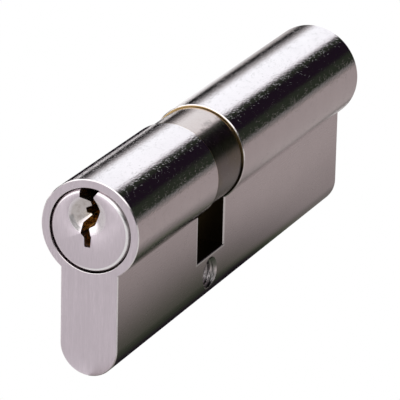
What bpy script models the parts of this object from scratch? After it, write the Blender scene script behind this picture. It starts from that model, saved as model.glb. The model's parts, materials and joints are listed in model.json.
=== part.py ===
"""Euro-profile double lock cylinder, keyed at both ends.

Frame: X runs along the barrel from the short front end (-X) to the long rear end (+X), Z is up, and the origin
is the centre of the fixing-screw hole, below the middle of the cam slot. The barrel's own axis lies AXIS_Z above
the origin. Every piece is modelled about the barrel axis and hung on one empty that stands on it.
"""
import math

import bmesh
import bpy
from mathutils import Matrix, Vector

MM = 0.001

# Body: the barrel with its web
FRONT_LENGTH = 35.5 * MM
REAR_LENGTH = 54.5 * MM
AXIS_Z = 18.5 * MM
BARREL_RADIUS = 8.5 * MM
WEB_HALF_WIDTH = 5.0 * MM
WEB_FOOT = 24.5 * MM
BORE_RADIUS = 6.65 * MM
COUNTERBORE_RADIUS = 7.2 * MM
COUNTERBORE_DEPTH = 2.3 * MM
SLOT_HALF_WIDTH = 5.2 * MM
SLOT_DEPTH = 15.1 * MM
SCREW_HOLE_RADIUS = 2.1 * MM
SCREW_MOUTH_RADIUS = 2.75 * MM

# Plugs (cores), measured from the plug's outer face inwards
HEAD_RADIUS = 6.95 * MM
HEAD_LENGTH = 2.0 * MM
HEAD_CHAMFER = 0.4 * MM
PLUG_RADIUS = 6.45 * MM
TAIL_RADIUS = 6.0 * MM
TAIL_REACH = 2.6 * MM
SHOULDER_INSET = 0.3 * MM
GROOVE_RADIUS = 5.3 * MM
GROOVE_IN = 4.1 * MM
GROOVE_OUT = 4.9 * MM
FUNNEL_RADIUS = 3.25 * MM
FUNNEL_DEPTH = 1.5 * MM
FUNNEL_LEFT = 0.5 * MM
FUNNEL_UP = 2.4 * MM
CROSS_HALF_WIDTH = 1.35 * MM
CROSS_HALF_LENGTH = 4.6 * MM
CROSS_DEPTH = 1.9 * MM

# Cam ring and its bit
CAM_HALF_WIDTH = 5.0 * MM
CAM_RADIUS = 8.1 * MM
CAM_BORE_RADIUS = 6.2 * MM
CAM_RECESS_RADIUS = 7.3 * MM
CAM_RECESS_START = 3.9 * MM
CAM_KEYWAY_RADIUS = 7.4 * MM
CAM_KEYWAY_HALF_WIDTH = 1.35 * MM
BIT_HALF_WIDTH = 4.9 * MM
BIT_RADIUS = 14.7 * MM
BIT_HALF_THICKNESS = 1.9 * MM
BIT_ANGLE = math.radians(45.0)

# Coupling pieces and circlips
COUPLING_RADIUS = 5.9 * MM
COUPLING_DISC = 0.7 * MM
COUPLING_TONGUE = 1.4 * MM
COUPLING_STROKE = 1.4 * MM
COUPLING_FACE = 2.35 * MM
EAR_RADIUS = 7.15 * MM
EAR_HALF_WIDTH = 1.1 * MM
TONGUE_HALF_WIDTH = 1.1 * MM
TONGUE_HALF_LENGTH = 4.3 * MM
CIRCLIP_OUTER = 7.0 * MM
CIRCLIP_INNER = 5.45 * MM
CIRCLIP_NEAR = 4.25 * MM
CIRCLIP_FAR = 4.75 * MM
CIRCLIP_GAP = math.radians(70.0)

# Pin stacks
FIRST_PIN = 6.0 * MM
PIN_PITCH = 4.0 * MM
PIN_COUNT = 5
CHAMBER_RADIUS = 1.55 * MM
PIN_RADIUS = 1.35 * MM
KEY_PIN_FOOT = 6.3 * MM
KEY_PIN_LENGTHS = {"front": (4.4, 5.6, 5.0, 6.2, 4.8), "rear": (5.2, 4.6, 6.0, 4.4, 5.6)}
KEY_PIN_TIP = 0.4 * MM
KEY_PIN_CONE = 1.0 * MM
PLUG_CHAMBER_TOP = 1.0 * MM
DRIVER_TOP = 6.6 * MM
DRIVER_LENGTH = 6.0 * MM
SPRING_TOP = 12.8 * MM
SPRING_FOOT = 21.9 * MM
SPRING_RADIUS = 1.0 * MM
SPRING_WIRE = 0.2 * MM
SPRING_TURNS = 5
CHAMBER_PLUG_TOP = 22.2 * MM
CHAMBER_PLUG_FOOT = 24.25 * MM
CHAMBER_PLUG_RADIUS = 1.42 * MM

# Facets of the round pieces
ROUND = 48
SMALL_ROUND = 16
PAST = 1.0 * MM

# Keyway outline, left of and above the plug's axis in millimetres: an open mouth at the top of the plug, then
# the warding grooves that step the blade left and right on its way down to the bitting edge.
KEYWAY = (
    (-1.42, 8.0), (-1.42, 6.8), (-0.55, 5.6), (-1.06, 4.7), (-1.57, 3.4), (-0.95, 1.8), (-0.62, 0.8),
    (0.36, 0.2), (-0.25, -1.0), (-0.03, -2.75), (0.82, -2.75), (0.94, -1.2), (1.64, -0.6), (1.47, 1.0),
    (0.15, 2.3), (1.12, 2.5), (1.15, 3.4), (0.0, 4.0), (0.1, 4.8), (1.86, 5.3), (1.86, 8.0),
)


def material(name, colour, roughness, metallic):
    """A Principled material with one colour."""
    made = bpy.data.materials.new(name)
    made.use_nodes = True
    shader = made.node_tree.nodes["Principled BSDF"]
    shader.inputs["Base Color"].default_value = (*colour, 1.0)
    shader.inputs["Roughness"].default_value = roughness
    shader.inputs["Metallic"].default_value = metallic
    return made


def add_object(name, mesh, parent, place=(0.0, 0.0, 0.0), turn=0.0):
    """Link one object that shows the mesh, at a place and turned about Z, under its parent."""
    piece = bpy.data.objects.new(name, mesh)
    bpy.context.scene.collection.objects.link(piece)
    piece.parent = parent
    piece.location = place
    piece.rotation_euler = (0.0, 0.0, turn)
    return piece


def to_mesh(name, bm, paint=None):
    """Finish a bmesh: outward faces, round sides smooth, flat ones sharp."""
    bmesh.ops.recalc_face_normals(bm, faces=bm.faces)
    mesh = bpy.data.meshes.new(name)
    bm.to_mesh(mesh)
    bm.free()
    mesh.shade_smooth()
    mesh.set_sharp_from_angle(angle=math.radians(30.0))
    if paint:
        mesh.materials.append(paint)
    return mesh


def prism(outline, start, end):
    """A straight bar along X whose section is the outline of (y, z) points."""
    bm = bmesh.new()
    ring = [bm.verts.new((start, y, z)) for y, z in outline]
    face = bm.faces.new(ring)
    grown = bmesh.ops.extrude_face_region(bm, geom=[face])
    moved = [item for item in grown["geom"] if isinstance(item, bmesh.types.BMVert)]
    bmesh.ops.translate(bm, verts=moved, vec=(end - start, 0.0, 0.0))
    return bm


def turned(profile, segments, axis="X"):
    """Spin a profile of (along, radius) points about X, Y or Z. A point at radius 0 closes the solid on its axis."""
    bm = bmesh.new()
    points = [bm.verts.new((along, 0.0, radius)) for along, radius in profile]
    edges = [bm.edges.new(pair) for pair in zip(points, points[1:])]
    closed = profile[0][1] > 0.0 and profile[-1][1] > 0.0
    if closed:
        edges.append(bm.edges.new((points[-1], points[0])))
    bmesh.ops.spin(bm, geom=points + edges, cent=(0, 0, 0), axis=(1, 0, 0), angle=math.tau, steps=segments)
    bmesh.ops.remove_doubles(bm, verts=bm.verts, dist=1e-7)
    if axis == "Y":
        bmesh.ops.rotate(bm, verts=bm.verts, matrix=Matrix.Rotation(math.pi / 2, 3, "Z"))
    if axis == "Z":
        bmesh.ops.rotate(bm, verts=bm.verts, matrix=Matrix.Rotation(-math.pi / 2, 3, "Y"))
    return bm


def shift(bm, vector):
    """Move a whole bmesh."""
    bmesh.ops.translate(bm, verts=bm.verts, vec=vector)
    return bm


def rod(radius, foot, top, segments=SMALL_ROUND):
    """A plain upright cylinder between two heights."""
    return turned([(foot, 0.0), (foot, radius), (top, radius), (top, 0.0)], segments, axis="Z")


def box(low, high):
    """A box between two corners."""
    outline = [(low[1], low[2]), (high[1], low[2]), (high[1], high[2]), (low[1], high[2])]
    return prism(outline, low[0], high[0])


def join(meshes):
    """Put several separate solids into one bmesh."""
    whole = bmesh.new()
    for bm in meshes:
        part = bpy.data.meshes.new("part")
        bmesh.ops.recalc_face_normals(bm, faces=bm.faces)
        bm.to_mesh(part)
        bm.free()
        whole.from_mesh(part)
        bpy.data.meshes.remove(part)
    return whole


def combine(piece, name, bm, operation, solver="EXACT"):
    """Cut a solid from the piece, or add one to it, and keep that solid as a hidden wire guide."""
    guide = add_object(name, to_mesh(name, bm), piece)
    guide.hide_render = True
    guide.display_type = "WIRE"
    change = piece.modifiers.new(name, "BOOLEAN")
    change.operation = operation
    change.solver = solver
    change.object = guide


def arc(radius, first, last, steps, centre=(0.0, 0.0)):
    """Points (y, z) on an arc, with angles from straight up towards +Y."""
    angles = [first + (last - first) * step / steps for step in range(steps + 1)]
    return [(centre[0] + radius * math.sin(a), centre[1] + radius * math.cos(a)) for a in angles]


def body_outline():
    """The euro profile: the barrel's circle, the web's flat sides and its half-round foot."""
    meeting = math.pi - math.asin(WEB_HALF_WIDTH / BARREL_RADIUS)
    foot_centre = (0.0, -(WEB_FOOT - WEB_HALF_WIDTH))
    barrel = arc(BARREL_RADIUS, -meeting, meeting, 40)
    foot = arc(WEB_HALF_WIDTH, math.pi / 2, 3 * math.pi / 2, 16, foot_centre)
    return barrel + foot


def pin_places(side):
    """Where each pin stack of one side stands along the barrel."""
    steps = [FIRST_PIN + PIN_PITCH * index for index in range(PIN_COUNT)]
    if side == "front":
        return [-FRONT_LENGTH + step for step in steps]
    return [REAR_LENGTH - step for step in steps]


def make_body(parent, paint):
    """The body, cut by the cam slot, the stepped bore, the pin chambers and the fixing-screw hole."""
    body = add_object("cylinder_body", to_mesh("cylinder_body", prism(body_outline(), -FRONT_LENGTH, REAR_LENGTH),
                                               paint), parent)
    bore = turned([
        (-FRONT_LENGTH - PAST, 0.0), (-FRONT_LENGTH - PAST, COUNTERBORE_RADIUS),
        (-FRONT_LENGTH + COUNTERBORE_DEPTH, COUNTERBORE_RADIUS), (-FRONT_LENGTH + COUNTERBORE_DEPTH, BORE_RADIUS),
        (REAR_LENGTH - COUNTERBORE_DEPTH, BORE_RADIUS), (REAR_LENGTH - COUNTERBORE_DEPTH, COUNTERBORE_RADIUS),
        (REAR_LENGTH + PAST, COUNTERBORE_RADIUS), (REAR_LENGTH + PAST, 0.0),
    ], ROUND)
    combine(body, "bore_cut", bore, "DIFFERENCE")
    slot = box((-SLOT_HALF_WIDTH, -BARREL_RADIUS - PAST, -SLOT_DEPTH),
               (SLOT_HALF_WIDTH, BARREL_RADIUS + PAST, BARREL_RADIUS + PAST))
    combine(body, "slot_cut", slot, "DIFFERENCE")
    chamber_top = -(PLUG_RADIUS - PAST)
    chambers = [shift(rod(CHAMBER_RADIUS, -WEB_FOOT - PAST, chamber_top), (x, 0.0, 0.0))
                for side in ("front", "rear") for x in pin_places(side)]
    combine(body, "chamber_cut", join(chambers), "DIFFERENCE")
    reach = WEB_HALF_WIDTH + PAST
    mouth = WEB_HALF_WIDTH - (SCREW_MOUTH_RADIUS - SCREW_HOLE_RADIUS)
    wide = SCREW_MOUTH_RADIUS + PAST
    screw = turned([(-reach, 0.0), (-reach, wide), (-mouth, SCREW_HOLE_RADIUS), (mouth, SCREW_HOLE_RADIUS),
                    (reach, wide), (reach, 0.0)], 2 * SMALL_ROUND, axis="Y")
    combine(body, "screw_cut", shift(screw, (0.0, 0.0, -AXIS_Z)), "DIFFERENCE")


def make_plug(side, length, parent, paint):
    """One plug, modelled from its face at x = 0 along its own +X, then set in its end of the body."""
    reach = length - TAIL_REACH
    shoulder = length - SLOT_HALF_WIDTH - SHOULDER_INSET
    solid = turned([
        (0.0, 0.0), (0.0, HEAD_RADIUS - HEAD_CHAMFER), (HEAD_CHAMFER, HEAD_RADIUS), (HEAD_LENGTH, HEAD_RADIUS),
        (HEAD_LENGTH, PLUG_RADIUS), (shoulder, PLUG_RADIUS), (shoulder, TAIL_RADIUS),
        (length - GROOVE_OUT, TAIL_RADIUS), (length - GROOVE_OUT, GROOVE_RADIUS),
        (length - GROOVE_IN, GROOVE_RADIUS), (length - GROOVE_IN, TAIL_RADIUS), (reach, TAIL_RADIUS), (reach, 0.0),
    ], ROUND)
    place = (-FRONT_LENGTH, 0.0, 0.0)
    turn = 0.0
    if side == "rear":
        place = (REAR_LENGTH, 0.0, 0.0)
        turn = math.pi
    plug = add_object(side + "_plug", to_mesh(side + "_plug", solid, paint), parent, place, turn)
    keyway = [(left * MM, up * MM) for left, up in KEYWAY]
    combine(plug, side + "_keyway_cut", prism(keyway, -PAST, length), "DIFFERENCE")
    slope = FUNNEL_RADIUS / FUNNEL_DEPTH
    funnel = turned([(-PAST, 0.0), (-PAST, FUNNEL_RADIUS + PAST * slope), (FUNNEL_DEPTH, 0.0)], 2 * SMALL_ROUND)
    combine(plug, side + "_funnel_cut", shift(funnel, (0.0, FUNNEL_LEFT, FUNNEL_UP)), "DIFFERENCE")
    chambers = [shift(rod(CHAMBER_RADIUS, -PLUG_RADIUS - PAST, PLUG_CHAMBER_TOP),
                      (FIRST_PIN + PIN_PITCH * index, 0.0, 0.0)) for index in range(PIN_COUNT)]
    combine(plug, side + "_pin_cut", join(chambers), "DIFFERENCE")
    cross = prism(cross_outline(CROSS_HALF_WIDTH, CROSS_HALF_LENGTH), reach - CROSS_DEPTH, reach + PAST)
    combine(plug, side + "_cross_cut", cross, "DIFFERENCE")


def cross_outline(half_width, half_length):
    """A plus sign with four equal arms."""
    arm = ((half_width, half_length), (half_width, half_width), (half_length, half_width))
    points = []
    for quarter in range(4):
        angle = -quarter * math.pi / 2
        for y, z in arm:
            points.append((y * math.cos(angle) - z * math.sin(angle), y * math.sin(angle) + z * math.cos(angle)))
    return points


def bit_outline():
    """The cam's bit, hanging straight down: two flat flanks and a rounded tip."""
    tip = BIT_RADIUS - BIT_HALF_THICKNESS / 2
    root = -(CAM_RADIUS + CAM_KEYWAY_RADIUS) / 2
    half = BIT_HALF_THICKNESS
    return [(half, root), (half, -tip), (half / 2, -BIT_RADIUS), (-half / 2, -BIT_RADIUS), (-half, -tip),
            (-half, root)]


def make_cam(parent, paint):
    """The cam: a recessed ring with two inner grooves for the couplings, and a bit that works the lock."""
    half = CAM_HALF_WIDTH
    blank = turned([(-half, 0.0), (-half, CAM_RADIUS), (half, CAM_RADIUS), (half, 0.0)], ROUND)
    cam = add_object("cam", to_mesh("cam", blank, paint), parent)
    groove = box((-half - PAST, -CAM_KEYWAY_HALF_WIDTH, -CAM_KEYWAY_RADIUS),
                 (half + PAST, CAM_KEYWAY_HALF_WIDTH, CAM_KEYWAY_RADIUS))
    combine(cam, "cam_groove_cut", groove, "DIFFERENCE")
    bore = turned([
        (-half - PAST, 0.0), (-half - PAST, CAM_RECESS_RADIUS), (-CAM_RECESS_START, CAM_RECESS_RADIUS),
        (-CAM_RECESS_START, CAM_BORE_RADIUS), (CAM_RECESS_START, CAM_BORE_RADIUS),
        (CAM_RECESS_START, CAM_RECESS_RADIUS), (half + PAST, CAM_RECESS_RADIUS), (half + PAST, 0.0),
    ], ROUND)
    combine(cam, "cam_bore_cut", bore, "DIFFERENCE", "MANIFOLD")
    bit = prism(bit_outline(), -BIT_HALF_WIDTH, BIT_HALF_WIDTH)
    bmesh.ops.rotate(bit, verts=bit.verts, matrix=Matrix.Rotation(BIT_ANGLE, 3, "X"))
    combine(cam, "bit_add", bit, "UNION")


def coupling_outline():
    """The coupling's disc with an ear above and an ear below."""
    meeting = math.asin(EAR_HALF_WIDTH / COUPLING_RADIUS)
    right = arc(COUPLING_RADIUS, meeting, math.pi - meeting, 16)
    left = arc(COUPLING_RADIUS, math.pi + meeting, math.tau - meeting, 16)
    lower = [(EAR_HALF_WIDTH, -EAR_RADIUS), (-EAR_HALF_WIDTH, -EAR_RADIUS)]
    upper = [(-EAR_HALF_WIDTH, EAR_RADIUS), (EAR_HALF_WIDTH, EAR_RADIUS)]
    return right + lower + left + upper


def make_coupling(side, parent, paint):
    """One coupling piece: an eared disc and a cross tongue that enters the plug's tail.

    The front one is stored in mesh with the front plug, the rear one drawn back from the rear plug.
    """
    face = COUPLING_FACE
    towards = -1.0
    if side == "rear":
        face = COUPLING_FACE - COUPLING_STROKE
        towards = 1.0
    disc = prism(coupling_outline(), towards * (face - COUPLING_DISC), towards * face)
    coupling = add_object(side + "_coupling", to_mesh(side + "_coupling", disc, paint), parent)
    root = towards * (face - COUPLING_DISC / 2)
    tongue = prism(cross_outline(TONGUE_HALF_WIDTH, TONGUE_HALF_LENGTH), root, towards * (face + COUPLING_TONGUE))
    combine(coupling, side + "_tongue_add", tongue, "UNION")


def make_circlip(side, parent, paint):
    """A flat spring ring, open at the bottom, in the plug's tail groove."""
    first = -math.pi + CIRCLIP_GAP / 2
    outer = arc(CIRCLIP_OUTER, first, -first, 28)
    inner = arc(CIRCLIP_INNER, -first, first, 28)
    towards = -1.0 if side == "front" else 1.0
    ring = prism(outer + inner, towards * CIRCLIP_NEAR, towards * CIRCLIP_FAR)
    add_object(side + "_circlip", to_mesh(side + "_circlip", ring, paint), parent)


def key_pin(length):
    """A key pin standing on its flat foot, its top a blunt cone."""
    return turned([(0.0, 0.0), (0.0, PIN_RADIUS), (length - KEY_PIN_CONE, PIN_RADIUS), (length, KEY_PIN_TIP),
                   (length, 0.0)], SMALL_ROUND, axis="Z")


def coil():
    """A helical spring: a square wire carried round a rising circle."""
    steps = SPRING_TURNS * 8
    height = SPRING_FOOT - SPRING_TOP - 2 * SPRING_WIRE
    corners = ((1.0, 0.0), (0.0, 1.0), (-1.0, 0.0), (0.0, -1.0))
    bm = bmesh.new()
    rings = []
    for step in range(steps + 1):
        angle = math.tau * SPRING_TURNS * step / steps
        middle = SPRING_WIRE + height * step / steps
        out = Vector((math.cos(angle), math.sin(angle), 0.0))
        ring = [out * (SPRING_RADIUS + SPRING_WIRE * across) + Vector((0.0, 0.0, middle + SPRING_WIRE * up))
                for across, up in corners]
        rings.append([bm.verts.new(point) for point in ring])
    for low, high in zip(rings, rings[1:]):
        for index in range(4):
            after = (index + 1) % 4
            bm.faces.new((low[index], low[after], high[after], high[index]))
    bm.faces.new(rings[0])
    bm.faces.new(rings[-1])
    return bm


def make_pin_stacks(side, parent, key_paint, driver_paint, spring_paint, plug_paint):
    """The pin stacks of one side: key pin, driver, spring and the plug that closes the chamber."""
    driver = to_mesh(side + "_driver", rod(PIN_RADIUS, 0.0, DRIVER_LENGTH), driver_paint)
    spring = to_mesh(side + "_spring", coil(), spring_paint)
    closure = to_mesh(side + "_chamber_plug", rod(CHAMBER_PLUG_RADIUS, 0.0, CHAMBER_PLUG_FOOT - CHAMBER_PLUG_TOP),
                      plug_paint)
    for index, x in enumerate(pin_places(side)):
        number = str(index + 1)
        length = KEY_PIN_LENGTHS[side][index] * MM
        pin = to_mesh(side + "_key_pin_" + number, key_pin(length), key_paint)
        add_object(side + "_key_pin_" + number, pin, parent, (x, 0.0, -KEY_PIN_FOOT))
        add_object(side + "_driver_" + number, driver, parent, (x, 0.0, -DRIVER_TOP - DRIVER_LENGTH))
        add_object(side + "_spring_" + number, spring, parent, (x, 0.0, -SPRING_FOOT))
        add_object(side + "_chamber_plug_" + number, closure, parent, (x, 0.0, -CHAMBER_PLUG_FOOT))


def main():
    """Clear the scene and build the lock cylinder."""
    for old in list(bpy.data.objects):
        bpy.data.objects.remove(old, do_unlink=True)
    nickel = material("nickel_plate", (0.56, 0.53, 0.54), 0.28, 1.0)
    plug_nickel = material("plug_nickel", (0.62, 0.58, 0.60), 0.3, 1.0)
    cam_steel = material("cam_steel", (0.42, 0.40, 0.36), 0.35, 1.0)
    coupling_steel = material("coupling_steel", (0.45, 0.45, 0.47), 0.35, 1.0)
    spring_steel = material("spring_steel", (0.35, 0.35, 0.37), 0.3, 1.0)
    pin_brass = material("pin_brass", (0.72, 0.53, 0.25), 0.3, 1.0)
    driver_steel = material("driver_steel", (0.52, 0.52, 0.54), 0.3, 1.0)
    plain_brass = material("plain_brass", (0.70, 0.55, 0.30), 0.35, 1.0)
    axis = bpy.data.objects.new("barrel_axis", None)
    bpy.context.scene.collection.objects.link(axis)
    axis.location = (0.0, 0.0, AXIS_Z)
    make_body(axis, nickel)
    make_cam(axis, cam_steel)
    for side, length in (("front", FRONT_LENGTH), ("rear", REAR_LENGTH)):
        make_plug(side, length, axis, plug_nickel)
        make_coupling(side, axis, coupling_steel)
        make_circlip(side, axis, spring_steel)
        make_pin_stacks(side, axis, pin_brass, driver_steel, spring_steel, plain_brass)


main()
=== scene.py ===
"""Euro-profile double lock cylinder: fine surfaces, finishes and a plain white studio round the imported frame."""
import json
import math

import bmesh
import bpy
import numpy as np
from bpy.props import FloatProperty, FloatVectorProperty, PointerProperty
from mathutils import Matrix, Vector


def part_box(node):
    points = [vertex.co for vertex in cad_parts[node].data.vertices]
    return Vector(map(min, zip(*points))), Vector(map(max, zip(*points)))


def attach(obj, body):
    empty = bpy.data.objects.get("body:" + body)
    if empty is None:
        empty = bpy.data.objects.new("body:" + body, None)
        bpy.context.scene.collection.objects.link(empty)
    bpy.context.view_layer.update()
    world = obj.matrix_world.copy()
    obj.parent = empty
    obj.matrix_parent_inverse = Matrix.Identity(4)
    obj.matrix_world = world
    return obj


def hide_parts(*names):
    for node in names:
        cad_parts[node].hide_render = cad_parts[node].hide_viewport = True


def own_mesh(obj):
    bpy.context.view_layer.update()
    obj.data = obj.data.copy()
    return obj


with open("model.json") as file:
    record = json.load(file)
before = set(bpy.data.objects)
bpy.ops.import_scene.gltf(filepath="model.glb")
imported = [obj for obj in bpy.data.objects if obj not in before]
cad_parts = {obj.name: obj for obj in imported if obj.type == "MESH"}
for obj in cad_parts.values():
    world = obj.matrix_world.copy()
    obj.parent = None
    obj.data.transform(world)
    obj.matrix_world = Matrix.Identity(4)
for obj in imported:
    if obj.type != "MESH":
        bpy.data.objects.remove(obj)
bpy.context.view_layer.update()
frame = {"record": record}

bl_info = {
    "name": "Double Lock Cylinder",
    "version": (1, 0, 0),
    "blender": (4, 5, 0),
    "location": "View3D > Sidebar > Lock Cylinder",
    "description": "Builds the visible surfaces and finishes of a double euro-profile lock cylinder",
    "category": "Object",
}

MM = 0.001


def corners(node):
    """Lowest and highest corner of a frame node as two arrays, in metres."""
    low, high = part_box(node)
    return np.array(low), np.array(high)


# Driving sizes, read from the frame's nodes (metres)
BODY_LOW, BODY_HIGH = corners("cylinder_body")
PLUG_LOW, PLUG_HIGH = corners("front_plug")
CAM_HIGH = corners("cam")[1]
BARREL = (BODY_HIGH[1] - BODY_LOW[1]) / 2
AXIS = BODY_HIGH[2] - BARREL
FOOT = BODY_LOW[2] - AXIS
FRONT = BODY_LOW[0]
REAR = BODY_HIGH[0]
WEB = abs([m for m in frame["record"]["mounts"] if m["name"] == "web_side_minus_y"][0]["pos_m"][1])
HEAD = (PLUG_HIGH[1] - PLUG_LOW[1]) / 2
CAM_HALF = CAM_HIGH[0]
CAM_OUTER = CAM_HIGH[2] - AXIS

# Sizes that the body, the plugs and their finishes share (metres)
PINS = 5
FIRST_PIN = 6.0 * MM
PIN_PITCH = 4.0 * MM
PIN_HOLE = 1.55 * MM
FUNNEL_Y, FUNNEL_Z = 0.5 * MM, 2.4 * MM
WELD = 2e-7


def length_setting(name, description, millimetres):
    """A length that a user can change, its default given in millimetres."""
    return FloatProperty(name=name, description=description, default=millimetres * MM, unit="LENGTH", precision=5)


def colour_setting(name, description, default):
    """A colour that a user can change."""
    return FloatVectorProperty(name=name, description=description, default=default, subtype="COLOR", min=0.0, max=1.0)


class CylinderSizes(bpy.types.PropertyGroup):
    """Small sizes of the machined edges and details."""

    edge: length_setting("Edge chamfer", "Width of the chamfer on the body's edges", 0.16)
    slot_half: length_setting("Slot half width", "Half the width of the cam slot", 5.2)
    slot_depth: length_setting("Slot depth", "Depth of the cam slot below the barrel axis", 15.1)
    bore: length_setting("Bore radius", "Radius of the bore the plugs turn in", 6.65)
    counterbore: length_setting("Counterbore radius", "Radius of the recess round a plug's head", 7.06)
    counterbore_depth: length_setting("Counterbore depth", "Depth of that recess", 2.3)
    thread_major: length_setting("Thread outer radius", "Radius at the root of the fixing thread", 2.5)
    thread_minor: length_setting("Thread inner radius", "Radius at the crest of the fixing thread", 2.1)
    thread_pitch: length_setting("Thread pitch", "Rise of the fixing thread in one turn", 0.8)
    thread_mouth: length_setting("Thread mouth radius", "Radius of the chamfer at the thread's ends", 2.8)
    funnel_radius: length_setting("Key funnel radius", "Radius of the countersink at the keyway", 3.25)
    funnel_depth: length_setting("Key funnel depth", "Depth of the countersink at the keyway", 1.5)


class CylinderColours(bpy.types.PropertyGroup):
    """Colours of the metals."""

    nickel: colour_setting("Nickel plate", "Colour of the plated body", (0.66, 0.585, 0.605))
    face: colour_setting("Brushed face", "Colour of the brushed end faces", (0.68, 0.60, 0.655))
    brass: colour_setting("Brass", "Colour of bare machined brass", (0.80, 0.56, 0.25))
    cam: colour_setting("Cam steel", "Colour of the cam", (0.45, 0.37, 0.36))
    steel: colour_setting("Steel", "Colour of the drivers, couplings and springs", (0.50, 0.50, 0.52))


class CylinderStage(bpy.types.PropertyGroup):
    """Floor, light and camera."""

    floor: colour_setting("Floor", "Colour of the floor", (1.0, 1.0, 1.0))
    panel: FloatProperty(name="Overhead panel", description="Brightness of the overhead soft light", default=1.55)
    lens: FloatProperty(name="Lens", description="Focal length of the camera", default=330.4 * MM, unit="CAMERA")


# ---------------------------------------------------------------- outlines


def arc(radius, first, last, steps, centre=(0.0, 0.0)):
    """Points of an arc: centre + radius * (sin a, cos a), with a from first to last, 0 being straight up."""
    a = np.linspace(first, last, steps)
    return np.stack([centre[0] + radius * np.sin(a), centre[1] + radius * np.cos(a)], 1)


def soften(points, radius, steps=5, least=math.radians(20.0)):
    """Round the real corners of a closed outline.

    Where the outline turns by more than the least angle, the corner P is swapped for the quadratic curve
    (1-t)^2 A + 2t(1-t) P + t^2 C, whose ends A and C lie the radius away from P along its two sides.
    """
    before = np.roll(points, 1, 0) - points
    after = np.roll(points, -1, 0) - points
    long_before = np.linalg.norm(before, axis=1, keepdims=True)
    long_after = np.linalg.norm(after, axis=1, keepdims=True)
    before = before / long_before
    after = after / long_after
    turn = np.pi - np.arccos(np.clip((before * after).sum(1), -1.0, 1.0))
    reach = np.minimum(radius, 0.45 * np.minimum(long_before, long_after))
    t = np.linspace(0.0, 1.0, steps)[None, :, None]
    start = (points + before * reach)[:, None]
    end = (points + after * reach)[:, None]
    curve = (1 - t) ** 2 * start + 2 * t * (1 - t) * points[:, None] + t ** 2 * end
    keep = turn > least
    whole = [curve[i] if keep[i] else points[i][None] for i in range(len(points))]
    return np.concatenate(whole)


def outward(points):
    """Unit outward normals of a closed outline: the mean direction of the two sides, turned by a right angle."""
    side = np.roll(points, -1, 0) - points
    side = side / np.maximum(np.linalg.norm(side, axis=1, keepdims=True), 1e-12)
    mean = side + np.roll(side, 1, 0)
    normal = np.stack([-mean[:, 1], mean[:, 0]], 1)
    normal = normal / np.maximum(np.linalg.norm(normal, axis=1, keepdims=True), 1e-12)
    area = (points[:, 0] * np.roll(points[:, 1], -1) - points[:, 1] * np.roll(points[:, 0], -1)).sum()
    return normal if area < 0 else -normal


def turned(points, angle):
    """Points of the (y, z) plane turned by an angle: (y cos a - z sin a, y sin a + z cos a)."""
    turn = np.array(((math.cos(angle), -math.sin(angle)), (math.sin(angle), math.cos(angle))))
    return points @ turn.T


def plus_outline(half_width, half_length):
    """A plus sign: three corners of one arm, turned by quarter turns."""
    arm = np.array([(half_width, half_length), (half_width, half_width), (half_length, half_width)])
    return np.concatenate([turned(arm, -a) for a in (0.0, math.pi / 2, math.pi, 3 * math.pi / 2)])


# ---------------------------------------------------------------- meshes


def grid_faces(rows, columns, start=0, wrap=False):
    """Quads between neighbouring rows and columns of a grid of points; wrap joins the last column to the first."""
    across = columns if wrap else columns - 1
    r, c = np.meshgrid(np.arange(rows - 1), np.arange(across), indexing="ij")
    n = (c + 1) % columns
    quads = np.stack([r * columns + c, r * columns + n, (r + 1) * columns + n, (r + 1) * columns + c], -1)
    return quads.reshape(-1, 4) + start


def tube_faces(rows, columns):
    """A closed tube: the wrapped grid and one face over each end."""
    return [*grid_faces(rows, columns, wrap=True), range(columns), range((rows - 1) * columns, rows * columns)]


def tidy_mesh(mesh, smooth, thin, turn_out):
    """Weld seams and poles, drop faces thinner than the limit, point the faces out if asked, keep edges crisp."""
    bm = bmesh.new()
    bm.from_mesh(mesh)
    bmesh.ops.remove_doubles(bm, verts=bm.verts, dist=WELD)
    bmesh.ops.dissolve_degenerate(bm, edges=bm.edges, dist=thin)
    if turn_out:
        bmesh.ops.recalc_face_normals(bm, faces=bm.faces)
    bm.to_mesh(mesh)
    bm.free()
    mesh.shade_smooth()
    mesh.set_sharp_from_angle(angle=math.radians(smooth))


def finish_mesh(name, points, faces, smooth=30.0):
    """Make an object from points and faces, welded, facing outwards and shaded smooth."""
    mesh = bpy.data.meshes.new(name)
    mesh.from_pydata(points.tolist(), [], [list(map(int, f)) for f in faces])
    tidy_mesh(mesh, smooth, 1e-8, True)
    piece = bpy.data.objects.new(name, mesh)
    bpy.context.scene.collection.objects.link(piece)
    return piece


def carried(name, outline, stations, smooth=30.0):
    """A bar: the (y, z) outline carried along x. Each station is (x, inset); its ring is outline - inset * normal."""
    normal = outward(outline)
    rings = [np.column_stack([np.full(len(outline), x), outline - inset * normal]) for x, inset in stations]
    return finish_mesh(name, np.concatenate(rings), tube_faces(len(stations), len(outline)), smooth)


def chamfer_stations(low, high, width):
    """Stations of a bar from low to high whose two ends are chamfered by the width."""
    return [(low, width), (low + width, 0.0), (high - width, 0.0), (high, width)]


def spun(name, profile, segments=96, axis=0, centre=(0.0, 0.0, 0.0), smooth=30.0):
    """A turned piece: each profile point (s, r) becomes the ring s * axis + r * (cos a, sin a) across the axis."""
    profile = np.asarray(profile, float)
    a = np.linspace(0.0, math.tau, segments, endpoint=False)
    along = np.repeat(profile[:, :1], segments, 1)
    points = np.stack([along, profile[:, 1:] * np.cos(a), profile[:, 1:] * np.sin(a)], -1).reshape(-1, 3)
    points = np.roll(points, axis, 1) + np.array(centre)
    return finish_mesh(name, points, grid_faces(len(profile), segments, wrap=True), smooth)


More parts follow.
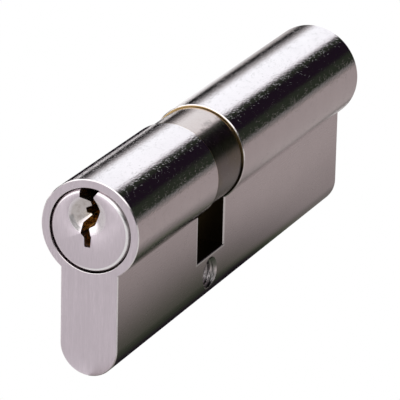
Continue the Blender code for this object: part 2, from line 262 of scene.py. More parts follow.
def eased(profile, radius, steps=4):
    """Round the corners of an open turned profile with the same quadratic curves as soften, ends left as they are.

    The curves kept are those between the points where the first and the last corner's curve leaves its outer side.
    """
    profile = np.asarray(profile, float)
    inner = soften(profile, radius, steps, math.radians(10.0))

    def nearest(end, corner, beyond):
        """Index of the softened point where the corner's curve meets the side that runs to the end."""
        side = np.linalg.norm(end - corner)
        reach = min(radius, 0.45 * side, 0.45 * np.linalg.norm(beyond - corner))
        return int(np.argmin(np.linalg.norm(inner - (corner + (end - corner) / side * reach), axis=1)))

    first, last = nearest(*profile[:3]), nearest(*profile[:-4:-1])
    return np.concatenate([profile[:1], inner[first:last + 1], profile[-1:]])


def shape(piece, tools, operation="DIFFERENCE", solver="EXACT"):
    """Cut the tools from a piece one after another, or add them, and keep only the finished mesh."""
    for tool in tools:
        change = piece.modifiers.new(tool.name, "BOOLEAN")
        change.operation = operation
        change.solver = solver
        change.object = tool
    bpy.context.view_layer.update()
    shown = piece.evaluated_get(bpy.context.evaluated_depsgraph_get())
    mesh = bpy.data.meshes.new_from_object(shown)
    mesh.name = piece.name
    piece.modifiers.clear()
    piece.data = mesh
    for tool in tools:
        bpy.data.objects.remove(tool, do_unlink=True)
    tidy_mesh(mesh, 30.0, WELD, False)
    return piece


def place(piece, matrix=None):
    """Move the finished mesh itself: turned by the matrix, then lifted onto the barrel axis."""
    if matrix is not None:
        piece.data.transform(matrix)
    piece.data.transform(Matrix.Translation((0.0, 0.0, AXIS)))


def hand_over(piece, paint, body, node):
    """Give a piece its finish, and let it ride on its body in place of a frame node."""
    piece.data.materials.clear()
    piece.data.materials.append(paint)
    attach(piece, body)
    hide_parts(node)


# ---------------------------------------------------------------- shader nodes


class Value:
    """An output socket that ordinary arithmetic can be written with: every step adds a Math node."""

    def __init__(self, socket):
        self.socket = socket

    def __rsub__(self, other):
        return calc("SUBTRACT", other, self)


for name, operation in (("add", "ADD"), ("sub", "SUBTRACT"), ("mul", "MULTIPLY"), ("truediv", "DIVIDE"),
                        ("gt", "GREATER_THAN"), ("lt", "LESS_THAN"), ("abs", "ABSOLUTE")):
    setattr(Value, f"__{name}__", lambda *values, operation=operation: calc(operation, *values))


def feed(socket, value):
    """Join a value to an input socket or set the socket's own number or colour; None leaves it as it is."""
    if isinstance(value, Value):
        socket.id_data.links.new(value.socket, socket)
    elif value is not None:
        socket.default_value = value


def add(kind, *values, tree=None, out=0, **settings):
    """Add a node, set its properties, feed its inputs in order, and return one of its outputs, or all for None.

    The node goes into the tree given, or else into the tree of the first value that is a socket.
    """
    tree = tree or next(value.socket.id_data for value in values if isinstance(value, Value))
    node = tree.nodes.new(kind)
    for name, value in settings.items():
        setattr(node, name, value)
    for socket, value in zip(node.inputs, values):
        feed(socket, value)
    made = [Value(socket) for socket in node.outputs]
    return made if out is None or not made else made[out]


def calc(operation, *values):
    """A Math node."""
    return add("ShaderNodeMath", *values, operation=operation)


def most(first, second):
    """The larger of two numbers."""
    return calc("MAXIMUM", first, second)


def across(first, second):
    """The square root of first * first + second * second."""
    return calc("SQRT", first * first + second * second)


def parts(vector):
    """The three parts of a vector."""
    return add("ShaderNodeSeparateXYZ", vector, out=None)


def facing_x(tree):
    """How squarely the surface faces along X, from 0 to 1."""
    return abs(parts(add("ShaderNodeNewGeometry", tree=tree, out=3))[0])


def noise(vector, scale, detail, roughness):
    """Cloudy noise."""
    return add("ShaderNodeTexNoise", vector, None, scale, detail, roughness)


def ramp(value, low, high, start=0.0, end=1.0, smooth=True):
    """Map a value from low..high to start..end, clamped."""
    kind = "SMOOTHSTEP" if smooth else "LINEAR"
    return add("ShaderNodeMapRange", value, low, high, start, end, interpolation_type=kind)


def blend(factor, first, second):
    """Mix two colours."""
    return add("ShaderNodeMix", factor, *[None] * 5, first, second, out=2, data_type="RGBA")


def mix(factor, first, second):
    """Mix two numbers."""
    return add("ShaderNodeMix", factor, None, first, second)


def new_group(name, inputs, outputs):
    """An empty node group with (title, kind, default) inputs and float outputs; returns it and its inputs."""
    tree = bpy.data.node_groups.new(name, "ShaderNodeTree")
    for title, kind, default in inputs:
        socket = tree.interface.new_socket(title, in_out="INPUT", socket_type="NodeSocket" + kind)
        if default is not None:
            socket.default_value = default
    for title in outputs:
        tree.interface.new_socket(title, in_out="OUTPUT", socket_type="NodeSocketFloat")
    return tree, add("NodeGroupInput", tree=tree, out=None)[:len(inputs)]


def end_group(tree, *values):
    """Lead the values out of a group, in the order of its outputs."""
    add("NodeGroupOutput", *values)
    return tree


def use(group, *values):
    """Place a node group in a material and return its outputs."""
    return add("ShaderNodeGroup", *values, out=None, node_tree=group)


VECTOR_IN = ("Vector", "Vector", None)


def group_pits():
    """Orange-peel and small pits of an electroplated surface: Height and the Pits mask."""
    inputs = [VECTOR_IN, ("Scale", "Float", 3.0), ("Amount", "Float", 0.5)]
    tree, (vector, scale, amount) = new_group("plating_pits", inputs, ["Height", "Pits"])
    peel = noise(vector, scale, 3.0, 0.6)
    cells = add("ShaderNodeTexVoronoi", vector, None, scale * 1.3, feature="SMOOTH_F1")
    patch = noise(vector, scale * 0.35, 2.0, 0.5)
    pits = ramp(cells, 0.36, 0.1) * ramp(patch, 0.42, 0.58)
    return end_group(tree, peel - pits * amount, pits)


def group_brushing():
    """Fine straight strokes: noise stretched along one axis. Outputs the Stroke value and a coarser Band."""
    inputs = [VECTOR_IN, ("Stretch", "Vector", (1.0, 14.0, 0.35))]
    tree, (vector, stretch) = new_group("brushing", inputs, ["Stroke", "Band"])
    squeezed = add("ShaderNodeVectorMath", vector, stretch, operation="MULTIPLY")
    return end_group(tree, noise(squeezed, 1.0, 4.0, 0.7), noise(squeezed, 0.22, 2.0, 0.5))


def group_handling():
    """Soft clouds of handling marks and a few fine scratches: Smudge and Scratch masks."""
    tree, (vector,) = new_group("handling", [VECTOR_IN], ["Smudge", "Scratch"])
    line = abs(noise(vector, 0.5, 1.0, 0.5) - 0.5)
    scratch = ramp(line, 0.004, 0.0) * ramp(noise(vector, 0.9, 1.0, 0.5), 0.56, 0.62)
    return end_group(tree, ramp(noise(vector, 0.16, 4.0, 0.6), 0.35, 0.7), scratch)


def group_edges():
    """Worn chamfers with a painted highlight: the mask is high where the surface leans between lying across and along
    X.
    """
    tree, (vector,) = new_group("edge_wear_and_highlight", [VECTOR_IN], ["Wear"])
    lean = facing_x(tree)
    chamfer = ramp(lean, 0.25, 0.45) * ramp(lean, 0.97, 0.9)
    return end_group(tree, chamfer * ramp(noise(vector, 1.2, 2.0, 0.5), 0.2, 0.6, 0.55, 1.0))


def begin_material(name):
    """A material with a Principled shader; returns it and the Object coordinate in mm, from the barrel axis."""
    paint = bpy.data.materials.new(name)
    paint.use_nodes = True
    where = add("ShaderNodeTexCoord", tree=paint.node_tree, out=3)
    return paint, add("ShaderNodeMapping", where, (0.0, 0.0, -AXIS / MM), (0.0, 0.0, 0.0), (1.0 / MM,) * 3)


def end_material(paint, colour, roughness, height, distance):
    """Join the colour, roughness and bump to the metal's shader."""
    shader = paint.node_tree.nodes["Principled BSDF"]
    bump = paint.node_tree.nodes.new("ShaderNodeBump")
    for socket, value in (
            (shader.inputs["Base Color"], colour), (shader.inputs["Roughness"], roughness),
            (shader.inputs["Metallic"], 1.0), (bump.inputs["Strength"], 1.0), (bump.inputs["Distance"], distance),
            (bump.inputs["Height"], height), (shader.inputs["Normal"], Value(bump.outputs[0]))):
        feed(socket, value)
    return paint


def marks(at, groups, lines):
    """The marks that every finish has: stroke and band of the brushing, smudge, scratch, and worn edges with a painted
    highlight.
    """
    return *use(groups["brushing"], at, lines), *use(groups["handling"], at), *use(groups["edges"], at)


def opaque(colour, gain=1.0):
    """A colour with alpha, each channel times the gain."""
    return tuple(channel * gain for channel in colour[:3]) + (1.0,)


# Fixed tones of worn edges with a painted highlight, and of painted highlights and painted shade
RUBBED_EDGE_HIGHLIGHT = (0.93, 0.9, 0.9, 1.0)
SLOT_EDGE_HIGHLIGHT = (0.95, 0.93, 0.95, 1.0)
RUBBED_PLUG_HIGHLIGHT = (0.95, 0.91, 0.92, 1.0)
HEAD_RIM_HIGHLIGHT = (0.97, 0.95, 0.96, 1.0)
FUNNEL_UPPER_SHADE = (0.27, 0.215, 0.165, 1.0)
FUNNEL_SHADE = (0.03, 0.025, 0.02, 1.0)
HEAD_CHAMFER_SHADE = (0.012, 0.010, 0.009, 1.0)
CAM_LOWER_SHADE = (0.155, 0.122, 0.090, 1.0)
CAM_GAP_SHADE = (0.010, 0.008, 0.006, 1.0)


def nickel_body_material(colours, sizes, groups):
    """Body: pitted nickel on the barrel, satin web, brushed ends, bare brass with painted shade where the slot and
    bores are cut.

    All sizes here are in millimetres; x, y and z are measured from the middle of the slot on the barrel axis.
    """
    paint, at = begin_material("nickel_body")
    nickel, face, brass = colours.nickel, colours.face, colours.brass
    x, y, z = parts(at)
    radius = across(y, z)

    # Where the slot, the bores, the end faces and the barrel are
    slot_edge = (sizes.slot_half + 0.02 * MM) / MM
    above_floor = z > -(sizes.slot_depth + 0.4 * sizes.edge) / MM
    in_slot = (x > -slot_edge - sizes.edge / MM) * (x < slot_edge) * above_floor
    # Painted highlight: a light line along the slot's edges down the web
    slot_highlight = most(abs(x) - slot_edge, -sizes.slot_depth / MM - z)
    slot_highlight = ramp(slot_highlight, 0.52, 0.38) * (z < -6.75)
    in_bore = radius < (sizes.counterbore - 0.02 * MM) / MM
    raw = most(in_slot, in_bore)
    end_face = ramp(facing_x(paint.node_tree), 0.9, 0.98) * (1.0 - raw)
    on_barrel = ramp(radius, 8.3, 8.45) * ramp(z, -6.95, -6.8)

    # The thread: painted shade at its root, deep inside and towards its upper side, and a painted highlight on its
    # crests
    hole = calc("SQRT", x * x + calc("POWER", z + AXIS / MM, 2.0))
    in_thread = hole < (sizes.thread_mouth - 0.01 * MM) / MM
    groove = ramp(hole, sizes.thread_minor / MM + 0.08, sizes.thread_major / MM - 0.1)
    groove = groove * (hole < (sizes.thread_major + 0.02 * MM) / MM)
    root = most(groove, ramp(WEB / MM - abs(y), 1.8, 3.6))
    root = most(root, ramp(z, -AXIS / MM - 0.3, -AXIS / MM + 0.7, 0.0, 0.9))
    thread_shade_and_highlight = blend(root, opaque(nickel, 1.5), opaque(nickel, 0.04))

    pits_height, pits = use(groups["pits"], at, 2.6, 0.7)
    stroke, band, smudge, scratch, wear_and_highlight = marks(at, groups, (2.0, 9.0, 0.5))
    grind = use(groups["brushing"], at, (0.25, 3.0, 6.0))[0]

    plate = blend(smudge * 0.25, opaque(nickel), opaque(nickel, 0.88))
    plate = blend(pits * 0.25, plate, opaque(nickel, 0.6))
    # Painted shade: the web is painted darker towards its foot
    low_web_shade = ramp(z, -9.0, -21.5, 0.0, 0.34) * (1.0 - on_barrel)
    plate = blend(low_web_shade, plate, opaque(nickel, 0.15))
    faces = blend(ramp(stroke, 0.3, 0.7), opaque(face, 0.90), opaque(face, 1.05))
    faces = blend(ramp(band, 0.35, 0.65, 0.0, 0.5), faces, opaque(face, 0.88))
    # Painted shade: the bare brass is dark in the bores and low in the slot, below the barrel axis
    cut = blend(most(in_bore, ramp(z, 1.5, -1.5)), opaque(brass), opaque(brass, 0.06))
    colour = blend(end_face, plate, faces)
    # Painted highlight on the slot's edges
    colour = blend(slot_highlight * 0.8, colour, SLOT_EDGE_HIGHLIGHT)
    colour = blend(raw, colour, cut)
    # Painted shade and a painted highlight in the thread
    colour = blend(in_thread, colour, thread_shade_and_highlight)
    # Worn edges and a painted highlight on the chamfers
    colour = blend(wear_and_highlight * 0.6, colour, RUBBED_EDGE_HIGHLIGHT)

    rough = mix(on_barrel, mix(grind, 0.20, 0.32), mix(smudge, 0.05, 0.10))
    rough = mix(end_face, rough, ramp(stroke, 0.3, 0.7, 0.34, 0.46))
    rough = mix(raw, rough, 0.32) + scratch * 0.12
    rough = mix(in_thread, rough, 0.36)
    height = mix(on_barrel, mix(in_thread, grind, 0.5) * 0.10, pits_height)
    height = mix(end_face, height, stroke * 0.16) - scratch * 0.2
    return end_material(paint, colour, rough, height, 0.020 * MM)


def nickel_plug_material(colours, groups):
    """Plugs: fine brushed nickel face, bare brass in the keyway, pin holes and along the turned shank.

    All sizes here are in millimetres; depth is measured from the nearer key face.
    """
    paint, at = begin_material("nickel_plug")
    face, brass, head = colours.face, colours.brass, HEAD / MM
    x, y, z = parts(at)
    radius = across(y, z)
    depth = calc("MINIMUM", x - FRONT / MM, REAR / MM - x)
    stroke, _, smudge, scratch, wear_and_highlight = marks(at, groups, (2.0, 9.0, 0.5))
    turning = use(groups["brushing"], at, (16.0, 0.3, 0.3))[0]
    faces = blend(ramp(stroke, 0.3, 0.7), opaque(face, 0.95), opaque(face, 1.08))
    bare = blend(ramp(noise(at, 0.9, 3.0, 0.6), 0.45, 0.75), opaque(brass, 1.15), opaque(brass, 0.6))

    # The funnel: painted shade, darker and browner towards its upper side, and a painted shade crescent at its lower
    # left
    funnel = ramp(depth, 0.03, 0.3) * (radius < 6.2)
    faces = blend(funnel * ramp(y + z, 2.2, 3.4, 0.15, 0.85), faces, FUNNEL_UPPER_SHADE)
    beside, above = y - FUNNEL_Y / MM, z - FUNNEL_Z / MM
    reach = across(beside, above)
    crescent = ramp(reach, 2.35, 2.65) * ramp(reach, 3.22, 3.08)
    crescent = crescent * ramp((beside * 0.83 - above * 0.56) / reach, 0.84, 0.93)
    faces = blend(crescent, faces, FUNNEL_SHADE)

    # The head's edge on its -Y side and below: a painted highlight ring, then painted shade on the chamfer
    lower = ramp((y * -0.94 + z * -0.34) / radius, -0.15, 0.45)
    head_highlight = ramp(radius, head - 0.78, head - 0.68) * ramp(radius, head - 0.34, head - 0.42)
    faces = blend(head_highlight * lower, faces, HEAD_RIM_HIGHLIGHT)
    faces = blend(ramp(radius, head - 0.40, head - 0.30) * lower, faces, HEAD_CHAMFER_SHADE)

    colour = blend(ramp(depth, 0.9, 1.9), faces, bare)
    # Worn edges and a painted highlight on the chamfers
    colour = blend(wear_and_highlight * 0.5, colour, RUBBED_PLUG_HIGHLIGHT)
    flat = ramp(facing_x(paint.node_tree), 0.9, 0.98)
    rough = mix(flat, mix(smudge, 0.2, 0.3), ramp(stroke, 0.3, 0.7, 0.3, 0.42)) + scratch * 0.1
    height = mix(flat, turning * 0.3, stroke * 0.16)
    return end_material(paint, colour, rough, height, 0.025 * MM)


def turned_metal(name, colour, groups, rough_low, rough_high, lines=(12.0, 0.4, 0.4), depth=0.02 * MM, dull=0.75):
    """A plain turned or drawn metal: tool lines across the axis, soft tarnish, and worn chamfers with a painted
    highlight.
    """
    paint, at = begin_material(name)
    stroke, _, smudge, scratch, wear_and_highlight = marks(at, groups, lines)
    body = blend(ramp(noise(at, 0.45, 4.0, 0.6), 0.4, 0.72), opaque(colour), opaque(colour, dull))
    body = blend(ramp(stroke, 0.35, 0.7, 0.0, 0.35), body, opaque(colour, 1.18))
    # Worn edges and a painted highlight on the chamfers
    body = blend(wear_and_highlight * 0.4, body, opaque(colour, 1.5))
    rough = ramp(stroke * 0.6 + smudge * 0.4, 0.2, 0.8, rough_low, rough_high) + scratch * 0.1
    return end_material(paint, body, rough, stroke, depth)


def cam_material(colours, groups):
    """Cam: ground steel, with painted shade that darkens and browns it away from the top of the ring and along its rear
    edge.
    """
    paint, at = begin_material("cam_steel")
    steel = colours.cam
    x, z = parts(at)[::2]
    stroke, _, smudge, scratch, wear_and_highlight = marks(at, groups, (10.0, 0.5, 0.5))
    cloud = noise(at, 0.7, 3.0, 0.6)
    # Painted shade: darker and browner below the top of the ring
    lower_shade = ramp(z + ramp(cloud, 0.3, 0.7, -1.2, 1.2), 7.4, 4.6)
    clean = blend(ramp(stroke, 0.35, 0.7), opaque(steel), opaque(steel, 1.1))
    shaded_steel = blend(smudge, opaque(steel, 0.36), CAM_LOWER_SHADE)
    colour = blend(lower_shade, clean, shaded_steel)
    # Worn edges and a painted highlight on the chamfers
    colour = blend(wear_and_highlight * 0.4, colour, opaque(steel, 1.5))
    # Painted shade in the gap at the cam's rear edge, wider lower down
    rear_gap_shade = ramp(CAM_HALF / MM - x - ramp(z, 3.0, -1.5, 0.0, 0.6), 0.26, 0.06)
    colour = blend(rear_gap_shade, colour, CAM_GAP_SHADE)
    rough = mix(lower_shade, 0.14, 0.22) + scratch * 0.1
    return end_material(paint, colour, rough, stroke * 0.5 + cloud * 0.8, 0.015 * MM)


def all_materials(settings):
    """Build the shared groups once, then every finish; kept by name for the operators."""
    colours, sizes = settings.lock_colours, settings.lock_sizes
    steel, brass = colours.steel, colours.brass
    groups = {"pits": group_pits(), "brushing": group_brushing(), "handling": group_handling(),
              "edges": group_edges()}
    pin_lines, pin_depth = (0.4, 0.4, 16.0), 0.012 * MM
    return {
        "body": nickel_body_material(colours, sizes, groups),
        "plug": nickel_plug_material(colours, groups),
        "cam": cam_material(colours, groups),
        "coupling": turned_metal("coupling_steel", steel, groups, 0.25, 0.4),
        "spring": turned_metal("spring_wire", steel, groups, 0.15, 0.28, (0.6, 0.6, 3.0), 0.01 * MM, 0.7),
        "key_pin": turned_metal("pin_brass", brass, groups, 0.14, 0.26, pin_lines, pin_depth),
        "driver": turned_metal("driver_steel", steel, groups, 0.14, 0.24, pin_lines, pin_depth),
        "closure": turned_metal("closure_brass", brass, groups, 0.28, 0.42, (0.6, 6.0, 0.6), 0.02 * MM),
    }


PAINTS = {}


def paint(context, name):
    """One of the finishes, built on first use."""
    if not PAINTS:
        PAINTS.update(all_materials(context.scene))
    return PAINTS[name]


# ---------------------------------------------------------------- body


SIDE_POINTS = 5
ROUND_POINTS = 161


def body_rings(sizes):
    """The body's skin as rings of points along x.

    Every ring holds the same points: left web side, barrel circle, right web side and half-round foot. Across the
    cam slot the points above the slot's floor are drawn in two steps: the barrel's circle onto the chord where it
    meets the web, then that chord and the web's sides down onto the slot's floor.
    """
    c, deep, half = sizes.edge, sizes.slot_depth, sizes.slot_half
    meeting = math.pi - math.asin(WEB / BARREL)
    neck = BARREL * math.cos(meeting)
    foot_up = FOOT + WEB
    levels = np.array([foot_up, -deep - c, -deep, -0.7 * deep, -0.55 * deep])
    left = np.stack([np.full(SIDE_POINTS, -WEB), levels], 1)
    barrel = arc(BARREL, -meeting, meeting, ROUND_POINTS)
    right = np.stack([np.full(SIDE_POINTS, WEB), levels[::-1]], 1)
    foot = arc(WEB, math.pi / 2, 3 * math.pi / 2, 49, (0.0, foot_up))[1:-1]
    outline = np.concatenate([left, barrel, right, foot])
    inset = outline - c * outward(outline)
    count = len(outline)
    order = np.arange(count)
    upper = (outline[:, 1] > -deep - 0.5 * c) & (order < 2 * SIDE_POINTS + ROUND_POINTS)
    on_circle = (order >= SIDE_POINTS) & (order < SIDE_POINTS + ROUND_POINTS)
    top_ring = outline.copy()
    top_ring[upper] = inset[upper]
    at_floor = np.isclose(outline[:, 1], -deep) & upper
    top_ring[at_floor] = np.stack([np.sign(outline[at_floor, 0]) * (WEB - c), outline[at_floor, 1]], 1)
    chord = top_ring.copy()
    chord[on_circle] = np.stack([np.linspace(-1.0, 1.0, ROUND_POINTS) * (WEB - c), np.full(ROUND_POINTS, neck)], 1)
    floor = chord.copy()
    rank = np.cumsum(upper) - 1
    spread = rank[upper] / rank[upper].max() * 2 - 1
    floor[upper] = np.stack([spread * (WEB - c), np.full(upper.sum(), -deep)], 1)
    stations = [(FRONT, inset), (FRONT + c, outline), (-half - c, outline), (-half, top_ring), (-half, chord),
                (-half, floor), (half, floor), (half, chord), (half, top_ring), (half + c, outline),
                (REAR - c, outline), (REAR, inset)]
    rings = [np.column_stack([np.full(count, x), ring]) for x, ring in stations]
    return np.concatenate(rings), len(rings), count


def bore_tool(sizes):
    """The stepped bore with a flare at each of its four mouths, as one turned solid."""
    c, past = sizes.edge, 1.0 * MM
    fine = 0.4 * c
    big, small, deep, half = sizes.counterbore, sizes.bore, sizes.counterbore_depth, sizes.slot_half
    profile = [
        (FRONT - past, 0.0), (FRONT - past, big + fine + past), (FRONT + fine, big), (FRONT + deep, big),
        (FRONT + deep, small), (-half - c, small), (-half, small + c), (half, small + c), (half + c, small),
        (REAR - deep, small), (REAR - deep, big), (REAR - fine, big), (REAR + past, big + fine + past),
        (REAR + past, 0.0),
    ]
    return spun("bore_tool", profile, 128)


def thread_tool(sizes):
    """The fixing thread as a solid along y.

    Radius = minor + (major - minor) * triangle wave of (y / pitch - angle / turn), and wider at the two mouths.
    """
    past = WEB + 0.9 * MM
    y = np.linspace(-past, past, 241)
    a = np.linspace(0.0, math.tau, 48, endpoint=False)
    phase = (y[:, None] / sizes.thread_pitch - a[None, :] / math.tau) % 1.0
    wave = np.clip(np.abs(phase * 2 - 1) * 1.25, 0.0, 1.0)
    radius = sizes.thread_minor + (sizes.thread_major - sizes.thread_minor) * (1.0 - wave)
    mouth = sizes.thread_mouth - (WEB - np.abs(y))
    radius = np.maximum(radius, mouth[:, None])
    skin = np.stack([radius * np.cos(a), np.repeat(y[:, None], len(a), 1), radius * np.sin(a)], -1)
    ends = [np.repeat([[[0.0, value, 0.0]]], len(a), 1) for value in (-past, past)]
    points = np.concatenate([ends[0], skin, ends[1]]).reshape(-1, 3)
    tool = finish_mesh("thread_tool", points, grid_faces(len(y) + 2, len(a), wrap=True))
    tool.data.transform(Matrix.Translation((0.0, 0.0, -AXIS)))
    return tool


def stand(node):
    """An upright round node's lowest and highest corner, its radius and where it stands along x."""
    low, high = corners(node)
    return low, high, (high[1] - low[1]) / 2, (low[0] + high[0]) / 2


def rods(name, places, radius, foot, top):
    """Upright cylinders at several places along x, as one tool."""
    points, faces = [], []
    for x in places:
        rod = spun(name, [(foot, 0.0), (foot, radius), (top, radius), (top, 0.0)], 40, 2, (x, 0.0, 0.0))
        faces += [[len(points) + index for index in face.vertices] for face in rod.data.polygons]
        points += [vertex.co[:] for vertex in rod.data.vertices]
        bpy.data.objects.remove(rod, do_unlink=True)
    return finish_mesh(name, np.array(points), faces)


class BuildBody(bpy.types.Operator):
    """Build the barrel and web with its slot, bores, pin chambers and fixing thread"""

    bl_idname = "lock.build_body"
    bl_label = "Body"

    def execute(self, context):
        sizes = context.scene.lock_sizes
        points, rows, count = body_rings(sizes)
        body = finish_mesh("barrel_and_web", points, tube_faces(rows, count))
        places = [float(stand(f"{side}_driver_{index + 1}")[3]) for side in ("front", "rear")
                  for index in range(PINS)]
        below_foot, inside_bore = FOOT - 1.0 * MM, -5.4 * MM
        shape(body, [bore_tool(sizes), rods("chamber_tool", places, PIN_HOLE, below_foot, inside_bore),
                     thread_tool(sizes)])
        place(body)
        hand_over(body, paint(context, "body"), "cylinder", "cylinder_body")
        return {"FINISHED"}


# ---------------------------------------------------------------- plugs

# Keyway outline, left of and above the plug's axis in millimetres: open at the top of the plug, then the warding
# grooves that step the blade left and right on its way down to the bitting edge.
KEYWAY = np.array((
    (-1.42, 8.0), (-1.42, 6.8), (-0.55, 5.6), (-1.06, 4.7), (-1.57, 3.4), (-0.95, 1.8), (-0.62, 0.8),
    (0.36, 0.2), (-0.25, -1.0), (-0.10, -2.8), (0.90, -2.8), (0.98, -1.2), (1.64, -0.6), (1.47, 1.0),
    (0.15, 2.3), (1.12, 2.5), (1.15, 3.4), (0.0, 4.0), (0.1, 4.8), (1.86, 5.3), (1.86, 8.0),
)) * MM


def plug_solid(side, length, sizes):
    """A plug from its face at x = 0: turned blank, then keyway, funnel, pin holes and the cross slot in its tail."""
    reach = length - 2.6 * MM
    shoulder = length - sizes.slot_half - 0.3 * MM
    groove_out, groove_in = length - 4.9 * MM, length - 4.1 * MM
    head, body, tail, groove = HEAD - 0.10 * MM, 6.45 * MM, 6.0 * MM, 5.3 * MM
    cross_half, cross_reach, cross_deep = 1.35 * MM, 4.6 * MM, 1.9 * MM
    profile = [
        (0.0, 0.0), (0.0, head - 0.5 * MM), (0.16 * MM, head - 0.22 * MM), (0.5 * MM, head), (1.2 * MM, head),
        (1.4 * MM, HEAD), (2.0 * MM, HEAD),
        (2.0 * MM, body), (shoulder, body), (shoulder, tail), (groove_out, tail), (groove_out, groove),
        (groove_in, groove), (groove_in, tail), (reach - 0.2 * MM, tail), (reach, tail - 0.2 * MM), (reach, 0.0),
    ]
    plug = spun(side + "_key_plug", profile, 128)
    slope = sizes.funnel_radius / sizes.funnel_depth
    funnel = spun("funnel_tool", [(-MM, 0.0), (-MM, sizes.funnel_radius + MM * slope), (sizes.funnel_depth, 0.0)],
                  96, 0, (0.0, FUNNEL_Y, FUNNEL_Z))
    places = [FIRST_PIN + PIN_PITCH * index for index in range(PINS)]
    holes = rods("pin_hole_tool", places, PIN_HOLE, -7.5 * MM, 1.0 * MM)
    cross = carried("cross_tool", soften(plus_outline(cross_half, cross_reach), 0.2 * MM, 4),
                    [(reach - cross_deep, 0.0), (reach + MM, 0.0)])
    blade = carried("keyway_tool", soften(KEYWAY, 0.14 * MM, 4), [(-MM, 0.0), (length, 0.0)])
    return shape(plug, [blade, funnel, holes, cross])


class BuildPlugs(bpy.types.Operator):
    """Build the front and rear plugs with keyway, funnel, pin holes and tail"""

    bl_idname = "lock.build_plugs"
    bl_label = "Plugs"

    def execute(self, context):
        for side, end, turn in (("front", FRONT, Matrix.Identity(4)), ("rear", REAR, Matrix.Rotation(math.pi, 4, "Z"))):
            plug = plug_solid(side, abs(end), context.scene.lock_sizes)
            place(plug, Matrix.Translation((end, 0.0, 0.0)) @ turn)
            hand_over(plug, paint(context, "plug"), side + "_core", side + "_plug")
        return {"FINISHED"}


# ---------------------------------------------------------------- cam, couplings and snap rings


def cam_outline():
    """Ring circle with the bit hanging from it, its root corners and tip corners rounded, turned by 45 degrees."""
    half, tip = 1.9 * MM, 14.7 * MM
    root = math.asin(half / CAM_OUTER)
    ring = arc(CAM_OUTER, root - math.pi, math.pi - root, 181)
    bit = np.array([(half, -(tip - half / 2)), (half / 2, -tip), (-half / 2, -tip), (-half, -(tip - half / 2))])
    return turned(soften(np.concatenate([ring, bit]), 0.8 * MM, 7), math.pi / 4)


class BuildCam(bpy.types.Operator):
    """Build the cam ring and its bit"""

    bl_idname = "lock.build_cam"
    bl_label = "Cam"

    def execute(self, context):
        half, ear_half, ear = CAM_HALF, 1.35 * MM, 7.4 * MM
        cam = carried("cam_ring", cam_outline(), chamfer_stations(-half, half, 0.15 * MM))
        groove = carried("groove_tool",
                         np.array([(-ear_half, -ear), (-ear_half, ear), (ear_half, ear), (ear_half, -ear)]),
                         [(-half - MM, 0.0), (half + MM, 0.0)])
        recess, small, deep, c = 7.3 * MM, 6.2 * MM, 3.9 * MM, 0.12 * MM
        bore = spun("cam_bore_tool", [
            (-half - MM, 0.0), (-half - MM, recess + MM), (-half + c, recess), (-deep, recess), (-deep, small),
            (deep, small), (deep, recess), (half - c, recess), (half + MM, recess + MM), (half + MM, 0.0)], 128)
        shape(cam, [groove, bore], solver="MANIFOLD")
        place(cam)
        hand_over(cam, paint(context, "cam"), "cam", "cam")
        return {"FINISHED"}


class BuildCouplings(bpy.types.Operator):
    """Build the two coupling pieces: an eared disc with a cross tongue"""

    bl_idname = "lock.build_couplings"
    bl_label = "Couplings"

    def execute(self, context):
        radius, ear_half, ear = 5.9 * MM, 1.1 * MM, 7.15 * MM
        tongue_long, plate_thick, tongue_ease = 1.4 * MM, 0.7 * MM, 0.1 * MM
        meeting = math.asin(ear_half / radius)
        disc = np.concatenate([
            arc(radius, meeting, math.pi - meeting, 60), np.array([(ear_half, -ear), (-ear_half, -ear)]),
            arc(radius, math.pi + meeting, math.tau - meeting, 60), np.array([(-ear_half, ear), (ear_half, ear)])])
        disc = soften(disc, 0.2 * MM, 4)
        cross = soften(plus_outline(ear_half, 4.3 * MM), 0.2 * MM, 4)
        for side, towards in (("front", -1.0), ("rear", 1.0)):
            low, high = corners(side + "_coupling")
            outer = low[0] if side == "front" else high[0]
            face = outer - towards * tongue_long
            back = face - towards * plate_thick
            plate = carried(side + "_clutch", disc, chamfer_stations(min(face, back), max(face, back), 0.08 * MM))
            tongue = carried("tongue", cross, [((face + back) / 2, 0.0), (outer - towards * tongue_ease, 0.0),
                                               (outer, tongue_ease)])
            shape(plate, [tongue], "UNION")
            place(plate)
            hand_over(plate, paint(context, "coupling"), side + "_coupling", side + "_coupling")
        return {"FINISHED"}


class BuildSnapRings(bpy.types.Operator):
    """Build the two open snap rings that hold the plugs"""

    bl_idname = "lock.build_snap_rings"
    bl_label = "Snap rings"

    def execute(self, context):
        gap, outer, inner = math.radians(70.0) / 2, 7.0 * MM, 5.45 * MM
        outline = np.concatenate([arc(outer, gap - math.pi, math.pi - gap, 90),
                                  arc(inner, math.pi - gap, gap - math.pi, 90)])
        outline = soften(outline, 0.35 * MM, 5)
        for side in ("front", "rear"):
            low, high = corners(side + "_circlip")
            ring = carried(side + "_snap_ring", outline, chamfer_stations(low[0], high[0], 0.06 * MM))
            place(ring)
            hand_over(ring, paint(context, "spring"), side + "_core", side + "_circlip")
        return {"FINISHED"}


# ---------------------------------------------------------------- pin stacks


